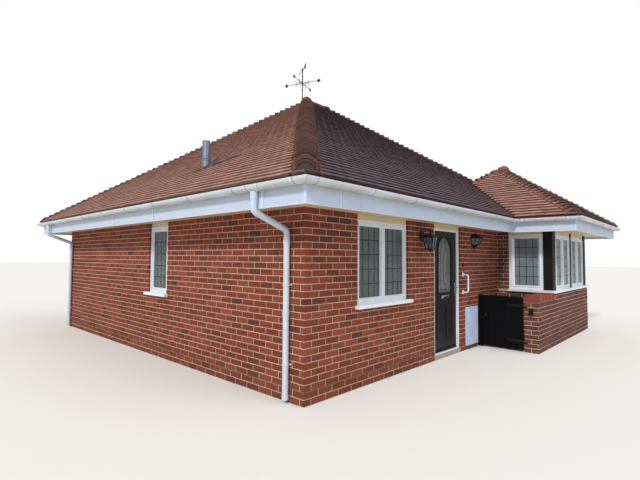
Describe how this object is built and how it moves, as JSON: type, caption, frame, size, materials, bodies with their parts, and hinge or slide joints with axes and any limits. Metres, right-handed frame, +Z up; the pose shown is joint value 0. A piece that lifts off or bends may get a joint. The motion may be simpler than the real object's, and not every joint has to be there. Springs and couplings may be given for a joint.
{
  "type": "bungalow",
  "caption": "Single-storey brick bungalow with a hipped tile roof, a projecting window wing, an entrance door, a bin store with a gate, and a weathervane.",
  "frame": {"origin": "on the ground below the middle of the main block's walls, on the underside of the floor slab", "axes": "+X along the entrance wall towards the wing, +Y from the entrance wall into the house, +Z up"},
  "size_m": [9.236, 9.646, 6.1453],
  "materials": {
    "brickwork": "rough red facing brick, pale mortar",
    "roof_tile": "plain clay tiles, matt brown",
    "concrete": "trowelled",
    "plasterboard": "painted",
    "timber_beam": "sawn",
    "dark_timber": "dark brown paint",
    "black_timber": "black paint",
    "white_plastic": "satin white",
    "cream_board": "satin cream",
    "dark_door": "satin dark brown",
    "door_metal": "polished",
    "black_metal": "satin black",
    "dark_plastic": "satin",
    "glass": "clear",
    "pale_glass": "frosted",
    "steel_flue": "dull",
    "lead": "dull grey sheet"
  },
  "bodies": {
    "house": {"side_wall": "brickwork", "entrance_wall_left": "brickwork", "entrance_wall_right": "brickwork", "door_head_wall": "brickwork", "rear_wall": "brickwork", "right_wall": "brickwork", "wing_front_wall": "brickwork", "wing_side_walls": "brickwork", "low_wall": "brickwork", "wall_coping": "brickwork", "main_roof": "roof_tile", "wing_roof": "roof_tile", "main_hip_tiles": "roof_tile", "wing_hip_tiles": "roof_tile", "floor_slab": "concrete", "ceiling": "plasterboard", "wing_head_beam": "timber_beam", "wing_posts": "dark_timber", "wing_sill": "white_plastic", "fascia": "white_plastic", "soffit": "cream_board", "gutter": "white_plastic", "downpipes": "white_plastic", "entrance_window": "white_plastic", "side_window": "white_plastic", "rear_windows": "white_plastic", "right_window": "white_plastic", "wing_windows": "white_plastic", "window_sills": "white_plastic", "head_boards": "cream_board", "window_glass": "glass", "wing_glass": "glass", "door_frame": "white_plastic", "carriage_lantern": "black_metal", "lantern_glass": "pale_glass", "half_lantern": "black_metal", "bell_push": "dark_plastic", "grab_rail": "white_plastic", "meter_box": "white_plastic", "gate_frame": "black_timber", "key_safe": "dark_plastic", "flue_pipe": "steel_flue", "flue_flashing": "lead", "vane_mast": "black_metal"},
    "door": {"front_door": "dark_door", "door_glass": "glass", "door_furniture": "door_metal", "door_hinges": "door_metal"},
    "gate": {"bin_gate": "black_timber", "gate_hinges": "black_metal"},
    "meter_flap": {"meter_door": "white_plastic"},
    "vane": {"vane_arrow": "black_metal"}
  },
  "joints": [
    {"name": "front_door_hinge", "type": "hinge", "parent": "house", "child": "door", "pos_m": [-1.179, -3.628, 1], "axis": [0, 0, 1], "range_deg": [0, 90]},
    {"name": "bin_gate_hinge", "type": "hinge", "parent": "house", "child": "gate", "pos_m": [0.391, -4.516, 0.45], "axis": [0, 0, 1], "range_deg": [0, 90]},
    {"name": "meter_door_hinge", "type": "hinge", "parent": "house", "child": "meter_flap", "pos_m": [-0.149, -3.784, 0.405], "axis": [0, 0, -1], "range_deg": [0, 110]},
    {"name": "weathervane_spin", "type": "hinge", "parent": "house", "child": "vane", "pos_m": [-0.198, 0.26, 6.09], "axis": [0, 0, 1], "continuous": true}
  ]
}
